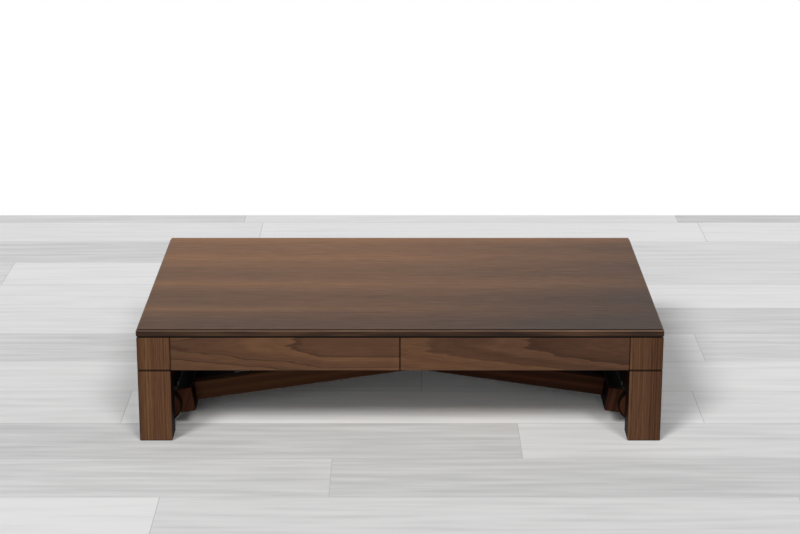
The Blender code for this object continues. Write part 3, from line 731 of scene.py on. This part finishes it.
# %% [markdown]
# ## Steel caps and screws
#
# A pivot pin can be kept in place by a domed cap that is pushed on its end, with a brim
# that works as a washer, and the blocks and tracks can be screwed up into the top with
# button-head screws. The photograph shows neither, so both are plain standard kinds. They
# are turned parts, so each is drawn as a list of loops round one axis, with a radius and a
# height above the surface that it sits on; the loops of a screw's hexagon socket have
# flats instead of being round. All fittings on one moving body are one mesh.

# %% Turned fittings
FITTING_SIDES = 24
CAP = [(0.0130, 0.0000, 0), (0.0130, 0.0007, 0), (0.0126, 0.0011, 0), (0.0098, 0.0012, 0),
       (0.0094, 0.0028, 0), (0.0080, 0.0044, 0), (0.0052, 0.0054, 0), (0.0020, 0.0058, 0)]
SCREW = [(0.0042, 0.0000, 0), (0.0042, 0.0007, 0), (0.0038, 0.0014, 0), (0.0029, 0.0020, 0),
         (0.0019, 0.0021, 6), (0.0018, 0.0019, 6), (0.0018, 0.0008, 6)]


def turned(bm, loops, place, out):
    """Add a turned shape that stands on a place and points out from it."""
    seat = Matrix.Translation(place) @ Vector(out).to_track_quat("Z", "Y").to_matrix().to_4x4()
    rows = []
    for radius, height, flats in loops:
        row = []
        for step in range(FITTING_SIDES):
            angle = math.tau * step / FITTING_SIDES
            half = math.pi / flats if flats else 0.0
            reach = radius * math.cos(half) / math.cos(angle % (2 * half) - half) if flats else radius
            point = Vector((reach * math.cos(angle), reach * math.sin(angle), height))
            row.append(bm.verts.new(seat @ point))
        rows.append(row)
    for low, high in zip(rows, rows[1:]):
        for step in range(FITTING_SIDES):
            after = (step + 1) % FITTING_SIDES
            bm.faces.new((low[step], low[after], high[after], high[step]))
    bm.faces.new(list(reversed(rows[0])))
    bm.faces.new(rows[-1])


def fitting(name, body, bm, steel=axle_steel):
    """Finish a mesh of fittings: smooth, steel, and carried by a body."""
    mesh = bpy.data.meshes.new(name)
    bm.to_mesh(mesh)
    bm.free()
    mesh.shade_smooth()
    mesh.set_sharp_from_angle(angle=math.radians(32))
    mesh.materials.append(steel)
    piece = bpy.data.objects.new(name, mesh)
    bpy.context.scene.collection.objects.link(piece)
    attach(piece, body)
    print(name, "rides", body, "with", len(mesh.polygons), "faces")


print("a cap is turned from", len(CAP), "loops and a screw from", len(SCREW))

# %% [markdown]
# Each fitting's place comes from the piece that it sits on, so it stays on that piece if
# the sizes change. A gap of 0.2 mm keeps a brim off the wood that turns behind it.

# %% Where the fittings sit
BRIM_GAP = 0.0002
SCREW_INSET = 0.007
RAIL_SCREWS = (0.12, 0.50, 0.92)
centre = Vector(joints["cross"]["pos_m"])
block_low, block_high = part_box("pivot_block_rear")
track_low, track_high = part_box("slide_track_rear")
rail_low, rail_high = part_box("front_rail")
slide_x = (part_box("sliding_axle")[0].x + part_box("sliding_axle")[1].x) / 2
outer_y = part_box("outer_frame_arm_rear")[1].y + BRIM_GAP
inner_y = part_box("inner_frame_arm_rear")[0].y - BRIM_GAP

box_fittings, slide_caps, centre_caps = bmesh.new(), bmesh.new(), bmesh.new()
for side in (-1.0, 1.0):
    turned(box_fittings, CAP, (high_pivot.x, side * block_high.y, high_pivot.z), (0.0, side, 0.0))
    turned(slide_caps, CAP, (slide_x, side * (track_high.y + BRIM_GAP), high_pivot.z), (0.0, side, 0.0))
    turned(centre_caps, CAP, (centre.x, side * outer_y, centre.z), (0.0, side, 0.0))
    turned(centre_caps, CAP, (centre.x, side * inner_y, centre.z), (0.0, -side, 0.0))
    for low, high in ((block_low, block_high), (track_low, track_high)):
        middle_y = side * (low.y + high.y) / 2
        for x in (low.x + SCREW_INSET, high.x - SCREW_INSET):
            turned(box_fittings, SCREW, (x, middle_y, low.z), (0.0, 0.0, -1.0))
    for share in RAIL_SCREWS:
        place = (side * share * rail_high.x, (rail_low.y + rail_high.y) / 2, rail_low.z)
        turned(box_fittings, SCREW, place, (0.0, 0.0, -1.0))
fitting("table_box_caps_and_screws", "table_box", box_fittings)
fitting("sliding_axle_caps", "lift_frame_inner", slide_caps)
fitting("centre_pivot_caps", "lift_frame_outer", centre_caps)

# %% [markdown]
# ## Steel strips on the tie rails
#
# A thin bright line shows at each end under the table, along the lower edge of the rail
# that ties two lower legs together. A flat steel strip that stiffens the rail is drawn
# there: a bar with eased edges, held by three of the same screws.

# %% Steel strips
STRIP_T = 0.0025
STRIP_H = 0.0100
STRIP_EDGE = 0.0006
STRIP_END = 0.012
STRIP_LIFT = 0.0006
STRIP_SCREWS = (-0.5, 0.0, 0.5)
for side, inward in (("left", 1.0), ("right", -1.0)):
    low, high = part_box(f"leg_tie_rail_{side}")
    face_x = high.x if inward > 0 else low.x
    middle_z = low.z + STRIP_LIFT + STRIP_H / 2
    strip = bmesh.new()
    bmesh.ops.create_cube(strip, size=1.0)
    bmesh.ops.scale(strip, vec=(STRIP_T, high.y - low.y - 2 * STRIP_END, STRIP_H), verts=strip.verts)
    bmesh.ops.bevel(strip, geom=list(strip.edges), offset=STRIP_EDGE, segments=2, profile=0.5,
                    affect="EDGES")
    bmesh.ops.translate(strip, vec=(face_x + inward * STRIP_T / 2, 0.0, middle_z), verts=strip.verts)
    for share in STRIP_SCREWS:
        turned(strip, SCREW, (face_x + inward * STRIP_T, share * high.y, middle_z), (inward, 0.0, 0.0))
    fitting(f"tie_rail_strip_{side}", f"{side}_leg_frame", strip, strip_steel)
